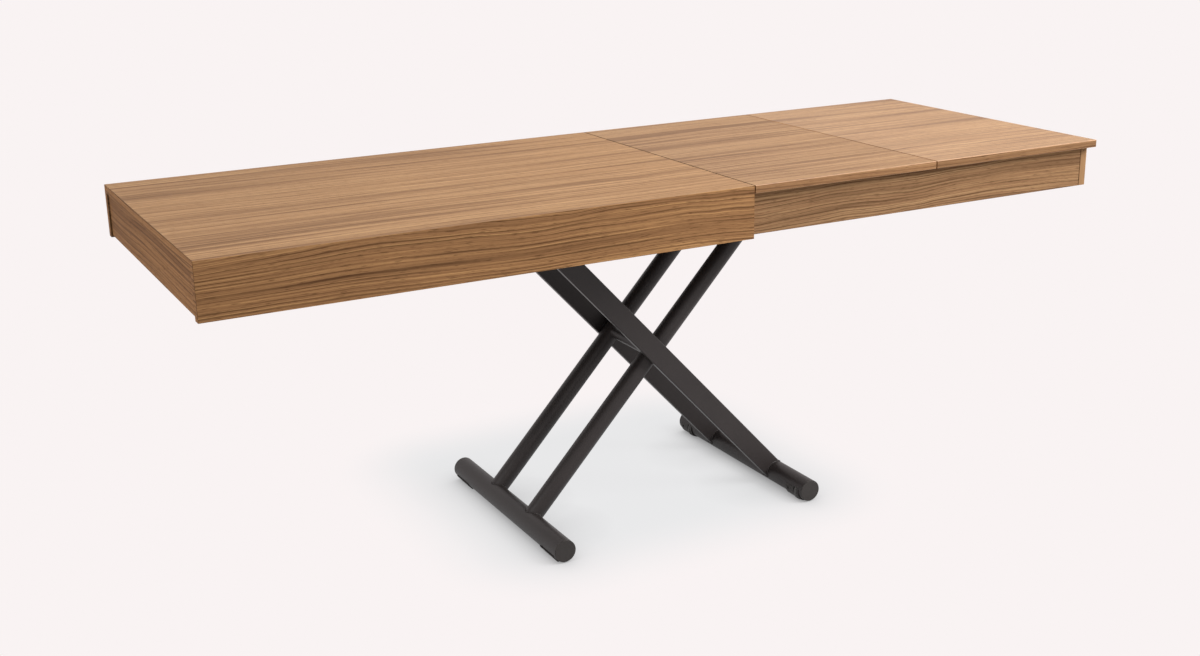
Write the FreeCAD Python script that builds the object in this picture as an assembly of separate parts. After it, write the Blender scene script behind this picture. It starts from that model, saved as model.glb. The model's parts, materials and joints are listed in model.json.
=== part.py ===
import FreeCAD, Part
import math
import os

# Extending dining table on a folding scissor base, drawn open at dining height with both leaves in.
# Millimetres. +X runs from the box towards the leaves, -Y is the front long side and +Z is up.
# The origin lies on the floor under the middle of the extended top.

# Table top
top_height = 760.0
table_width = 720.0
box_length = 1100.0
box_height = 107.0
top_thickness = 15.5
panel_thickness = 18.0
leaf_length = 455.0
leaf_thickness = 16.0
seam_gap = 1.5
edge_ease = 0.8
end_panel_gap = 2.5
end_panel_lift = 4.0
end_panel_setback = 3.0
batten_size = 18.0
batten_length = 440.0

# Inner frame that draws out of the box
frame_panel_thickness = 18.0
frame_side_clearance = 2.0
frame_lift = 3.0
frame_end_seam = 0.6
leaf_overhang = 7.0
corner_bracket_leg = 36.0
corner_bracket_height = 50.0
corner_bracket_gauge = 2.0

# Travels
box_travel = 606.0
fold_angle = math.radians(35.0)

# Scissor base
foot_spread = 611.0
base_shift = 15.5
foot_diameter = 48.0
foot_wall = 2.0
foot_length = 520.0
foot_cap_thickness = 3.0
foot_cap_plug = 8.0
foot_cap_ease = 1.0
pivot_drop = 73.0
leg_tube_diameter = 40.0
leg_tube_wall = 2.0
leg_tube_offset = 88.0
leg_tube_tail = 12.0
bar_width = 45.0
bar_thickness = 18.0
bar_wall = 2.0
bar_edge_radius = 2.5
bar_plug = 34.0
tube_bar_gap = 1.5
axle_diameter = 16.0
axle_sleeve_diameter = 28.0
bush_diameter = 24.0
bush_depth = 13.0
bush_flange_diameter = 32.0

# Floor shoes under the left foot
shoe_thickness = 2.0
shoe_length = 60.0
shoe_end_margin = 13.0
shoe_sole_width = 24.0
shoe_height = 15.0

# Wheels under the right foot
wheel_offset = 9.0
wheel_tilt = math.radians(45.0)
wheel_width = 9.0
wheel_ease = 1.0
wheel_slot_gap = 1.5
wheel_axle_diameter = 5.0
insert_length = 46.0
insert_width = 40.0
insert_depth = 18.0
insert_proud = 3.0
insert_round_offset = 5.0
insert_front_margin = 11.5
insert_rear_margin = 12.0
insert_wheel_place = 11.0
insert_hole_place = 37.0
insert_hole_offset = 14.0
insert_hole_diameter = 5.0
insert_hole_depth = 10.0

# Carriage under the top
beam_width = 20.0
beam_height = 40.0
beam_wall = 2.0
beam_rise = 13.0
cross_width = 25.0
cross_gap = 7.5
bracket_thickness = 6.0
bracket_gap = 1.5
bracket_half_height = 22.0
bracket_nose = 22.0
pivot_sleeve_diameter = 30.0
track_lead = 66.0
track_tail = 22.5
track_wall = 2.5
track_reach = 19.0
roller_diameter = 26.0
roller_width = 15.0
roller_ease = 1.0
roller_standoff = 8.0
roller_side_gap = 2.0
roller_shaft_diameter = 12.0
roller_spacer_diameter = 20.0

# Slide runners and guide blocks
runner_wall = 2.0
top_runner_height = 28.0
top_runner_depth = 22.0
top_runner_margin = 7.0
top_runner_inset = 16.0
frame_runner_height = 28.0
frame_runner_depth = 14.0
frame_runner_lift = 16.0
runner_bracket_gap = 9.0
beam_margin = 27.0
block_length = 60.0
block_end_margin = 10.0
frame_block_inset = 40.0
runner_stop = 10.0
upright_gauge = 4.0
upright_height = 40.0
leaf_rest_length = 30.0
leaf_rest_height = 11.0
leaf_rest_offset = 150.0

# Gas spring and its release
crank_radius = 36.0
crank_width = 26.0
crank_cheek_gap = 26.0
crank_cheek_gauge = 7.0
crank_pin_diameter = 10.0
crank_pin_proud = 1.5
rod_eye_length = 24.0
rod_eye_height = 30.0
rod_eye_side_gap = 1.0
rod_diameter = 10.0
rod_free_length = 34.0
rod_insertion = 60.0
cylinder_diameter = 22.0
cylinder_length = 215.0
stud_diameter = 10.0
stud_length = 14.0
valve_pin_diameter = 5.0
valve_pin_proud = 6.0
valve_pin_depth = 8.0
valve_pin_travel = 3.0
gas_bracket_gauge = 6.0
gas_bracket_width = 40.0
gas_bracket_drop = 14.0
gas_bracket_reach = 30.0
gas_bracket_below_beam = 10.0
lever_gauge = 4.0
lever_width = 20.0
lever_pivot_y = -70.0
lever_end_margin = 10.0
lever_pivot_diameter = 8.0
lever_head_diameter = 14.0
lever_head_height = 3.0
grip_length = 60.0
grip_diameter = 14.0

# Clearances
running_fit = 0.06
plug_fit = 0.1
slide_fit = 0.3
pin_play = 0.15

# Levels and places that follow from the sizes above
total_length = box_length + 2 * leaf_length + 2 * seam_gap
half_width = table_width / 2
box_left = -total_length / 2
box_right = box_left + box_length
leaves_right = total_length / 2
box_bottom = top_height - box_height
top_underside = top_height - top_thickness
leaf_underside = top_height - leaf_thickness
box_inner = half_width - panel_thickness
end_outer = box_left + end_panel_setback
end_inner = end_outer + panel_thickness
batten_right = end_inner + batten_size

frame_outer = box_inner - frame_side_clearance
frame_inner = frame_outer - frame_panel_thickness
frame_bottom = box_bottom + frame_lift
frame_right = leaves_right - leaf_overhang
frame_left = frame_right - (box_right - end_inner - frame_side_clearance)
frame_travel = frame_right - (box_right + box_travel)
frame_end_inner = frame_right - frame_panel_thickness

frame_runner_left = frame_left + runner_stop
frame_runner_right = frame_end_inner - corner_bracket_leg - runner_bracket_gap
frame_runner_bottom = frame_bottom + frame_runner_lift
frame_runner_top = frame_runner_bottom + frame_runner_height
frame_block_left = frame_left + frame_block_inset
frame_block_right = frame_runner_right - runner_stop - frame_travel - block_length
top_runner_left = batten_right + top_runner_inset
top_runner_right = box_right - frame_panel_thickness - runner_stop
top_runner_bottom = top_underside - top_runner_height
top_block_left = top_runner_left + box_travel + runner_stop
top_block_right = top_runner_right - block_length - block_end_margin

foot_radius = foot_diameter / 2
foot_z = foot_radius + shoe_thickness
pivot_z = top_height - pivot_drop
left_foot_x = base_shift - foot_spread / 2
right_foot_x = base_shift + foot_spread / 2
rise = pivot_z - foot_z
leg_length = math.hypot(foot_spread, rise)
leg_angle = math.atan2(rise, foot_spread)
folded_roller_x = left_foot_x + leg_length * math.cos(leg_angle - fold_angle)
leg_tube_radius = leg_tube_diameter / 2
bar_inner = leg_tube_offset + leg_tube_radius + tube_bar_gap
bar_outer = bar_inner + bar_thickness

beam_outer = frame_inner - beam_margin
beam_inner = beam_outer - beam_width
beam_top = pivot_z + beam_rise
beam_bottom = beam_top - beam_height
cross_left_end = left_foot_x - bar_width / 2 - cross_gap
cross_left = cross_left_end - cross_width
carriage_left = min(cross_left, top_block_left - block_end_margin)
track_start = right_foot_x - track_lead
track_end = folded_roller_x + track_tail
carriage_right = max(track_end + cross_width, frame_block_right + block_length + block_end_margin)
roller_radius = roller_diameter / 2
roller_inner = leg_tube_offset + leg_tube_radius + roller_standoff
roller_outer = roller_inner + roller_width
track_web = roller_outer + roller_side_gap
bracket_inner = bar_outer + bracket_gap
bracket_outer = bracket_inner + bracket_thickness

top_runner_open = beam_inner - top_runner_margin
top_runner_web = top_runner_open - top_runner_depth

half_fold = fold_angle / 2
pin_x = left_foot_x - crank_radius * math.sin(half_fold)
pin_z = pivot_z - crank_radius * math.cos(half_fold)
gas_z = pivot_z - crank_radius * (1 + math.cos(half_fold)) / 2
cylinder_left = pin_x + rod_eye_length / 2 + rod_free_length
cylinder_right = cylinder_left + cylinder_length
gas_cross_left = cylinder_right + gas_bracket_reach
stud_end = cylinder_right + gas_bracket_gauge + stud_length
valve_pin_end = stud_end + valve_pin_proud

wheel_x = right_foot_x - wheel_offset * math.sin(wheel_tilt)
wheel_z = foot_z - wheel_offset * math.cos(wheel_tilt)
wheel_radius = wheel_z
insert_round_x = right_foot_x - insert_round_offset * math.sin(wheel_tilt)
insert_round_z = foot_z - insert_round_offset * math.cos(wheel_tilt)
insert_round_diameter = 2 * (foot_radius + insert_proud - insert_round_offset)

ORIGIN = FreeCAD.Vector(0, 0, 0)
X_AXIS = FreeCAD.Vector(1, 0, 0)
Y_AXIS = FreeCAD.Vector(0, 1, 0)


def block(x, y, z):
    """Rectangular solid between two limits along each axis."""
    corner = FreeCAD.Vector(x[0], y[0], z[0])
    return Part.makeBox(x[1] - x[0], y[1] - y[0], z[1] - z[0], corner)


def rod(radius, start, end):
    """Round bar between two points."""
    axis = end - start
    return Part.makeCylinder(radius, axis.Length, start, axis)


def cross_rod(diameter, x, z, y):
    """Round bar lying along Y between two limits."""
    return rod(diameter / 2, FreeCAD.Vector(x, y[0], z), FreeCAD.Vector(x, y[1], z))


def prism(points, direction):
    """Flat outline pushed along a direction."""
    corners = [FreeCAD.Vector(*point) for point in points]
    return Part.Face(Part.makePolygon(corners + corners[:1])).extrude(direction)


def hollow_block(x, y, z, wall, axis):
    """Rectangular tube with open ends along X or Y."""
    inner = {"x": (x[0] + wall, x[1] - wall), "y": (y[0] + wall, y[1] - wall)}
    inner[axis] = {"x": x, "y": y}[axis]
    return block(x, y, z).cut(block(inner["x"], inner["y"], (z[0] + wall, z[1] - wall)))


def channel(x, web, opening, z, wall):
    """U section along X, its web at one Y and its open side at another."""
    step = math.copysign(wall, opening - web)
    outline = [
        (web, z[0]), (opening, z[0]), (opening, z[0] + wall), (web + step, z[0] + wall),
        (web + step, z[1] - wall), (opening, z[1] - wall), (opening, z[1]), (web, z[1]),
    ]
    return prism([(x[0], y, height) for y, height in outline], X_AXIS * (x[1] - x[0]))


def to_front(shape):
    """Copy of a rear piece mirrored to the front long side."""
    return shape.mirror(ORIGIN, Y_AXIS)


def save(name, shape):
    """Write one piece under its own name."""
    shape.exportStep("parts/" + name + ".step")


def save_group(name, solids):
    """Write like pieces of one kind as separate solids under one name."""
    save(name, Part.makeCompound(solids))


def save_pair(name, rear_shape):
    """Write a front and a rear piece that mirror each other."""
    save("rear_" + name, rear_shape)
    save("front_" + name, to_front(rear_shape))


def both_sides(solids):
    """Rear solids together with their front mirror images."""
    return solids + [to_front(solid) for solid in solids]


def rims(shape):
    """Circular edges of a turned piece."""
    return [edge for edge in shape.Edges if edge.Curve.TypeId == "Part::GeomCircle"]


def leg_point(foot_x, top_x, distance, y=0.0):
    """Point on a leg's line, measured from its foot axis."""
    share = distance / leg_length
    return FreeCAD.Vector(foot_x + (top_x - foot_x) * share, y, foot_z + rise * share)


def foot_cylinder(foot_x, diameter):
    """Full-length round of a foot, also used to cope what is welded to it."""
    return cross_rod(diameter, foot_x, foot_z, (-foot_length / 2, foot_length / 2))


def eased_box(x, y, z):
    """Panel with lightly eased edges."""
    panel = block(x, y, z)
    return panel.makeChamfer(edge_ease, panel.Edges)


def build_outer_box():
    """Walnut box: a top mitred to two long sides, one end panel and the runners under the top."""
    run = X_AXIS * box_length
    mitre = edge_ease / (panel_thickness + top_thickness)
    ease_y = half_width - panel_thickness * mitre
    ease_z = top_height - top_thickness * mitre
    rear_half = [(half_width - edge_ease, top_height), (ease_y, ease_z), (box_inner, top_underside)]
    front_half = [(-y, z) for y, z in reversed(rear_half)]
    save("top_panel", prism([(box_left, y, z) for y, z in rear_half + front_half], run))

    side = [
        (half_width, top_height - edge_ease), (ease_y, ease_z), (box_inner, top_underside),
        (box_inner, box_bottom), (half_width, box_bottom),
    ]
    save_pair("side_panel", prism([(box_left, y, z) for y, z in side], run))

    end_half = box_inner - end_panel_gap
    save("left_end_panel", block(
        (end_outer, end_inner), (-end_half, end_half), (box_bottom + end_panel_lift, top_underside)))
    save("end_batten", block(
        (end_inner, batten_right), (-batten_length / 2, batten_length / 2),
        (top_underside - batten_size, top_underside)))

    save_group("top_runners", both_sides([channel(
        (top_runner_left, top_runner_right), top_runner_web, top_runner_open,
        (top_runner_bottom, top_underside), runner_wall)]))


def build_leaves():
    """Two loose leaves that lie on the frame, level with the box top."""
    inner_left = box_right + seam_gap
    outer_left = inner_left + leaf_length + seam_gap
    for name, left in (("inner_leaf", inner_left), ("outer_leaf", outer_left)):
        save(name, eased_box(
            (left, left + leaf_length), (-half_width, half_width), (leaf_underside, top_height)))


def build_inner_frame():
    """Drawer-like frame: two sides, an end panel, corner brackets and runners."""
    heights = (frame_bottom, leaf_underside)
    save_pair("frame_side", block(
        (frame_left, frame_end_inner - frame_end_seam), (frame_inner, frame_outer), heights))
    save("frame_end_panel", block((frame_end_inner, frame_right), (-frame_outer, frame_outer), heights))

    bracket_z = ((frame_bottom + leaf_underside) / 2 - corner_bracket_height / 2)
    bracket = prism([
        (frame_end_inner, frame_inner, bracket_z),
        (frame_end_inner - corner_bracket_leg, frame_inner, bracket_z),
        (frame_end_inner - corner_bracket_leg, frame_inner - corner_bracket_gauge, bracket_z),
        (frame_end_inner - corner_bracket_gauge, frame_inner - corner_bracket_gauge, bracket_z),
        (frame_end_inner - corner_bracket_gauge, frame_inner - corner_bracket_leg, bracket_z),
        (frame_end_inner, frame_inner - corner_bracket_leg, bracket_z),
    ], FreeCAD.Vector(0, 0, corner_bracket_height))
    save_group("frame_corner_brackets", both_sides([bracket]))

    save_group("frame_runners", both_sides([channel(
        (frame_runner_left, frame_runner_right), frame_inner, frame_inner - frame_runner_depth,
        (frame_runner_bottom, frame_runner_top), runner_wall)]))


def guide_upright(x):
    """Angle standing on a beam, holding a guide block for the top runner."""
    foot = block((x, x + block_length), (beam_inner, beam_outer), (beam_top, beam_top + upright_gauge))
    wall = block(
        (x, x + block_length), (beam_inner, beam_inner + upright_gauge),
        (beam_top, beam_top + upright_height))
    return foot.fuse(wall).removeSplitter()


def build_carriage():
    """Steel underframe that the scissor lifts and that both halves of the top slide on."""
    save_pair("carriage_beam", hollow_block(
        (carriage_left, carriage_right), (beam_inner, beam_outer), (beam_bottom, beam_top),
        beam_wall, "x"))
    crosses = {
        "left_cross_tube": cross_left,
        "gas_cross_tube": gas_cross_left,
        "middle_cross_tube": track_start - cross_width,
        "right_cross_tube": track_end,
    }
    for name, left in crosses.items():
        save(name, hollow_block(
            (left, left + cross_width), (-beam_inner, beam_inner), (beam_bottom, beam_top),
            beam_wall, "y"))

    bracket = block(
        (cross_left_end, left_foot_x), (bracket_inner, bracket_outer),
        (pivot_z - bracket_half_height, pivot_z + bracket_half_height))
    nose = cross_rod(2 * bracket_nose, left_foot_x, pivot_z, (bracket_inner, bracket_outer))
    bore = cross_rod(
        axle_diameter + 2 * running_fit, left_foot_x, pivot_z, (bracket_inner, bracket_outer))
    save_group("pivot_brackets", both_sides([bracket.fuse(nose).removeSplitter().cut(bore)]))

    track_half = roller_radius + slide_fit + track_wall
    save_group("roller_tracks", both_sides([channel(
        (track_start, track_end), track_web + track_wall, track_web - track_reach,
        (pivot_z - track_half, pivot_z + track_half), track_wall)]))

    block_places = (top_block_left, top_block_right)
    save_group("guide_uprights", both_sides([guide_upright(x) for x in block_places]))
    save_group("top_guide_blocks", both_sides([
        block(
            (x, x + block_length), (top_runner_web + runner_wall + slide_fit, beam_inner),
            (top_runner_bottom + runner_wall + slide_fit, top_underside - runner_wall - slide_fit))
        for x in block_places]))
    save_group("frame_guide_blocks", both_sides([
        block(
            (x, x + block_length), (beam_outer, frame_inner - runner_wall - slide_fit),
            (frame_runner_bottom + runner_wall + slide_fit, frame_runner_top - runner_wall - slide_fit))
        for x in (frame_block_left, frame_block_right)]))

    rest_y = (leaf_rest_offset, leaf_rest_offset + leaf_rest_length)
    save_group("leaf_rest_pads", both_sides([
        block((x, x + cross_width), rest_y, (beam_top, beam_top + leaf_rest_height))
        for x in (cross_left, track_start - cross_width)]))


def cope_to_foot(shape, foot_x):
    """Cut the end of a leg to sit on its round foot."""
    return shape.cut(foot_cylinder(foot_x, foot_diameter))


def build_foot_tube(name, foot_x, windows):
    """Round foot tube, its weld seam turned to the windows, with a flat cap plugged into each end."""
    half = foot_length / 2 - foot_cap_thickness
    tube = cross_rod(foot_diameter, foot_x, foot_z, (-half, half))
    tube = tube.cut(cross_rod(foot_diameter - 2 * foot_wall, foot_x, foot_z, (-half, half)))
    tube.rotate(FreeCAD.Vector(foot_x, 0, foot_z), Y_AXIS, 180 + math.degrees(wheel_tilt))
    for window in windows:
        tube = tube.cut(window)
    save(name + "_foot_tube", tube)

    disc = cross_rod(foot_diameter, foot_x, foot_z, (half, half + foot_cap_thickness))
    outer_rim = max(rims(disc), key=lambda edge: edge.Curve.Center.y)
    disc = disc.makeFillet(foot_cap_ease, [outer_rim])
    plug_diameter = foot_diameter - 2 * foot_wall - 2 * plug_fit
    plug = cross_rod(plug_diameter, foot_x, foot_z, (half - foot_cap_plug, half))
    save_group(name + "_foot_caps", both_sides([disc.fuse(plug).removeSplitter()]))


def build_tube_leg():
    """Inner leg: two round tubes welded on the left foot, with the axle and the roller shaft."""
    build_foot_tube("left", left_foot_x, [])
    start = leg_point(left_foot_x, right_foot_x, 0.0, leg_tube_offset)
    end = leg_point(left_foot_x, right_foot_x, leg_length + leg_tube_tail, leg_tube_offset)
    outer = rod(leg_tube_radius, start, end)
    tube = cope_to_foot(outer.cut(rod(leg_tube_radius - leg_tube_wall, start, end)), left_foot_x)
    middle = leg_point(left_foot_x, right_foot_x, leg_length / 2)
    through = (0.0, bar_outer)
    tube = tube.cut(cross_rod(axle_diameter + 2 * plug_fit, middle.x, middle.z, through))
    shaft_bore = roller_shaft_diameter + 2 * plug_fit
    tube = tube.cut(cross_rod(shaft_bore, right_foot_x, pivot_z, through))
    save_pair("leg_tube", tube)

    axle_end = bar_inner + bush_depth
    save("centre_axle", cross_rod(axle_diameter, middle.x, middle.z, (-axle_end, axle_end)))
    sleeve_span = (-leg_tube_offset, leg_tube_offset)
    sleeve = cross_rod(axle_sleeve_diameter, middle.x, middle.z, sleeve_span)
    sleeve = sleeve.cut(cross_rod(axle_diameter + 2 * plug_fit, middle.x, middle.z, sleeve_span))
    save("axle_sleeve", sleeve.cut(outer).cut(to_front(outer)))

    save("roller_shaft", cross_rod(
        roller_shaft_diameter, right_foot_x, pivot_z, (-roller_outer, roller_outer)))
    spacer_span = (leg_tube_offset + leg_tube_radius, roller_inner)
    spacer = cross_rod(roller_spacer_diameter, right_foot_x, pivot_z, spacer_span)
    save_group("roller_spacers", both_sides([
        spacer.cut(cross_rod(shaft_bore, right_foot_x, pivot_z, spacer_span))]))


def build_rollers():
    """Nylon rollers at the top of the tube leg, running in the carriage tracks."""
    span = (roller_inner + slide_fit, roller_outer)
    roller = cross_rod(roller_diameter, right_foot_x, pivot_z, span)
    bore = cross_rod(roller_shaft_diameter + 2 * running_fit, right_foot_x, pivot_z, span)
    save_pair("track_roller", roller.makeChamfer(roller_ease, rims(roller)).cut(bore))


def bar_outline(length, half_width_of_bar, rounded):
    """Outline of a flat bar in its own plane, square at the foot and round at the pivot."""
    low = FreeCAD.Vector(0, 0, -half_width_of_bar)
    high = FreeCAD.Vector(0, 0, half_width_of_bar)
    along = X_AXIS * length
    if rounded:
        tip = FreeCAD.Vector(length + half_width_of_bar, 0, 0)
        end = Part.Arc(low + along, tip, high + along).toShape()
    else:
        end = Part.makeLine(low + along, high + along)
    return Part.Wire([
        Part.makeLine(low, low + along), end, Part.makeLine(high + along, high), Part.makeLine(high, low)])


def place_on_bar(shape):
    """Turn a piece drawn along X so that it runs up the bar leg from the right foot."""
    lean = FreeCAD.Rotation(Y_AXIS, math.degrees(leg_angle) - 180.0)
    shape.Placement = FreeCAD.Placement(FreeCAD.Vector(right_foot_x, 0, foot_z), lean)
    return shape


def build_bar_leg():
    """Outer leg: two flat bars welded on the right foot, with the pivot shaft at their top."""
    outline = Part.Face(bar_outline(leg_length, bar_width / 2, True))
    outline.translate(Y_AXIS * bar_inner)
    outer = outline.extrude(Y_AXIS * bar_thickness)
    long_edges = [
        edge for edge in outer.Edges
        if edge.Length > leg_length / 2 and edge.Curve.TypeId == "Part::GeomLine"]
    outer = outer.makeFillet(bar_edge_radius, long_edges)
    cavity = Part.Face(bar_outline(leg_length - bar_plug, bar_width / 2 - bar_wall, False))
    cavity.translate(Y_AXIS * (bar_inner + bar_wall))
    cavity = cavity.extrude(Y_AXIS * (bar_thickness - 2 * bar_wall))
    bar = cope_to_foot(place_on_bar(outer.cut(cavity)), right_foot_x)

    middle = leg_point(right_foot_x, left_foot_x, leg_length / 2)
    bush_seat = (bar_inner, bar_outer - bar_wall)
    bar = bar.cut(cross_rod(bush_diameter + 2 * plug_fit, middle.x, middle.z, bush_seat))
    bar = bar.cut(cross_rod(axle_diameter + 2 * plug_fit, left_foot_x, pivot_z, (bar_inner, bar_outer)))
    save_pair("leg_bar", bar)

    bush = cross_rod(bush_diameter, middle.x, middle.z, (bar_inner, bar_inner + bush_depth))
    flange_span = (bar_inner - tube_bar_gap + slide_fit, bar_inner)
    flange = cross_rod(bush_flange_diameter, middle.x, middle.z, flange_span)
    axle_bore = cross_rod(
        axle_diameter + 2 * running_fit, middle.x, middle.z, (flange_span[0], bar_outer))
    save_group("axle_bushes", both_sides([bush.fuse(flange).removeSplitter().cut(axle_bore)]))

    save("pivot_shaft", cross_rod(axle_diameter, left_foot_x, pivot_z, (-bracket_outer, bracket_outer)))
    sleeve_span = (-bar_inner, bar_inner)
    shaft_bore = cross_rod(axle_diameter + 2 * plug_fit, left_foot_x, pivot_z, sleeve_span)
    sleeve = cross_rod(pivot_sleeve_diameter, left_foot_x, pivot_z, sleeve_span)
    save("pivot_sleeve", sleeve.cut(shaft_bore))


def build_lift_crank():
    """Pair of crank cheeks on the pivot sleeve, with the pin that the gas spring pushes."""
    span = (crank_cheek_gap / 2, crank_cheek_gap / 2 + crank_cheek_gauge)
    hub = cross_rod(pivot_sleeve_diameter + crank_width / 2, left_foot_x, pivot_z, span)
    eye = cross_rod(crank_width, pin_x, pin_z, span)
    web = prism([
        (-crank_width / 2, span[0], 0), (crank_width / 2, span[0], 0),
        (crank_width / 2, span[0], -crank_radius), (-crank_width / 2, span[0], -crank_radius),
    ], Y_AXIS * (span[1] - span[0]))
    web.Placement = FreeCAD.Placement(
        FreeCAD.Vector(left_foot_x, 0, pivot_z), FreeCAD.Rotation(Y_AXIS, math.degrees(half_fold)))
    cheek = hub.fuse([eye, web]).removeSplitter()
    cheek = cheek.cut(cross_rod(pivot_sleeve_diameter, left_foot_x, pivot_z, span))
    cheek = cheek.cut(cross_rod(crank_pin_diameter + 2 * plug_fit, pin_x, pin_z, span))
    save_group("crank_cheeks", both_sides([cheek]))
    pin_half = span[1] + crank_pin_proud
    save("crank_pin", cross_rod(crank_pin_diameter, pin_x, pin_z, (-pin_half, pin_half)))


def insert_frame(shape):
    """Tilt a piece drawn straight below the right foot to the side the wheel leans to."""
    turn = FreeCAD.Rotation(Y_AXIS, math.degrees(wheel_tilt))
    shape.Placement = FreeCAD.Placement(FreeCAD.Vector(right_foot_x, 0, foot_z), turn)
    return shape


def build_wheels():
    """Right foot tube with two plastic inserts, each holding a small wheel on a pin."""
    front_place = -foot_length / 2 + insert_front_margin
    rear_place = foot_length / 2 - insert_rear_margin - insert_length
    windows = []
    inserts = []
    pins = []
    for side, start in (("front", front_place), ("rear", rear_place)):
        span = (start, start + insert_length)
        window = insert_frame(block(
            (-insert_width / 2, insert_width / 2), span, (-2 * foot_radius, 0)))
        windows.append(window)
        lining = cross_rod(2 * (foot_radius - foot_wall - plug_fit), right_foot_x, foot_z, span)
        proud = cross_rod(insert_round_diameter, insert_round_x, insert_round_z, span)
        bed = insert_frame(block(
            (-insert_width / 2 + plug_fit, insert_width / 2 - plug_fit), span,
            (-2 * foot_radius, -foot_radius / 2)))
        core = insert_frame(block(
            (-insert_width / 2 + plug_fit, insert_width / 2 - plug_fit), span,
            (-2 * foot_radius, insert_depth - plug_fit)))
        body = core.common(lining).fuse(bed.common(proud)).removeSplitter()
        wheel_y = start + insert_wheel_place
        slot_half = wheel_width / 2 + wheel_slot_gap
        body = body.cut(cross_rod(
            2 * (wheel_radius + wheel_slot_gap), wheel_x, wheel_z,
            (wheel_y - slot_half, wheel_y + slot_half)))
        pin_span = (span[0] + wheel_slot_gap, wheel_y + 2 * slot_half)
        body = body.cut(cross_rod(wheel_axle_diameter + 2 * plug_fit, wheel_x, wheel_z, pin_span))
        hole = insert_frame(rod(
            insert_hole_diameter / 2,
            FreeCAD.Vector(-insert_hole_offset, start + insert_hole_place, -2 * foot_radius),
            FreeCAD.Vector(-insert_hole_offset, start + insert_hole_place, insert_hole_depth - foot_radius)))
        inserts.append(body.cut(hole))

        tread = (wheel_y - wheel_width / 2, wheel_y + wheel_width / 2)
        wheel = cross_rod(2 * wheel_radius, wheel_x, wheel_z, tread)
        wheel = wheel.makeFillet(wheel_ease, rims(wheel))
        bore = cross_rod(wheel_axle_diameter + 2 * running_fit, wheel_x, wheel_z, tread)
        save(side + "_wheel", wheel.cut(bore))
        pins.append(cross_rod(wheel_axle_diameter, wheel_x, wheel_z, pin_span))
    save_group("wheel_inserts", inserts)
    save_group("wheel_pins", pins)
    build_foot_tube("right", right_foot_x, windows)


def build_floor_shoes():
    """Thin saddles that stay flat on the floor while the left foot turns in them."""
    start = foot_length / 2 - shoe_end_margin - shoe_length
    span = (start, start + shoe_length)
    wrap = cross_rod(2 * foot_z, left_foot_x, foot_z, span)
    sole = block(
        (left_foot_x - shoe_sole_width / 2, left_foot_x + shoe_sole_width / 2), span,
        (0, foot_radius / 2))
    below = block((left_foot_x - foot_diameter, left_foot_x + foot_diameter), span, (0, shoe_height))
    saddle = wrap.common(below).fuse(sole).removeSplitter()
    bore = cross_rod(foot_diameter + 2 * running_fit, left_foot_x, foot_z, span)
    save_pair("floor_shoe", saddle.cut(bore))


def build_gas_spring():
    """Lockable gas spring between the crank and the carriage."""
    eye_span = crank_cheek_gap / 2 - rod_eye_side_gap
    eye = block(
        (pin_x - rod_eye_length / 2, pin_x + rod_eye_length / 2), (-eye_span, eye_span),
        (gas_z - rod_eye_height / 2, gas_z + rod_eye_height / 2))
    slot_half = crank_pin_diameter / 2 + pin_play
    slot_reach = crank_radius * (1 - math.cos(half_fold)) / 2 + pin_play
    slot = block((pin_x - slot_half, pin_x + slot_half), (-eye_span, eye_span),
                 (gas_z - slot_reach, gas_z + slot_reach))
    for z in (gas_z - slot_reach, gas_z + slot_reach):
        slot = slot.fuse(cross_rod(2 * slot_half, pin_x, z, (-eye_span, eye_span)))
    save("rod_eye", eye.cut(slot))
    rod_start = FreeCAD.Vector(pin_x + rod_eye_length / 2, 0, gas_z)
    rod_end = FreeCAD.Vector(cylinder_left + rod_insertion, 0, gas_z)
    save("gas_rod", rod(rod_diameter / 2, rod_start, rod_end))

    left = FreeCAD.Vector(cylinder_left, 0, gas_z)
    right = FreeCAD.Vector(cylinder_right, 0, gas_z)
    bore_end = rod_end + X_AXIS * (2 * crank_radius * math.sin(half_fold) + runner_stop)
    tail = FreeCAD.Vector(stud_end, 0, gas_z)
    valve_bore_start = tail - X_AXIS * (valve_pin_depth + valve_pin_travel + plug_fit)
    cylinder = rod(cylinder_diameter / 2, left, right).fuse(rod(stud_diameter / 2, right, tail))
    cylinder = cylinder.cut(rod(rod_diameter / 2 + running_fit, left, bore_end))
    cylinder = cylinder.cut(rod(valve_pin_diameter / 2 + running_fit, valve_bore_start, tail))
    save("gas_cylinder", cylinder)
    valve_tip = FreeCAD.Vector(valve_pin_end, 0, gas_z)
    save("valve_pin", rod(valve_pin_diameter / 2, tail - X_AXIS * valve_pin_depth, valve_tip))

    flange_top = beam_top - gas_bracket_below_beam
    half = gas_bracket_width / 2
    plate_right = cylinder_right + gas_bracket_gauge
    plate = block((cylinder_right, plate_right), (-half, half), (gas_z - gas_bracket_drop, flange_top))
    flange = block((plate_right, gas_cross_left), (-half, half), (flange_top - gas_bracket_gauge, flange_top))
    hole = rod(stud_diameter / 2 + plug_fit, right, tail)
    save("gas_bracket", plate.fuse(flange).removeSplitter().cut(hole))


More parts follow.
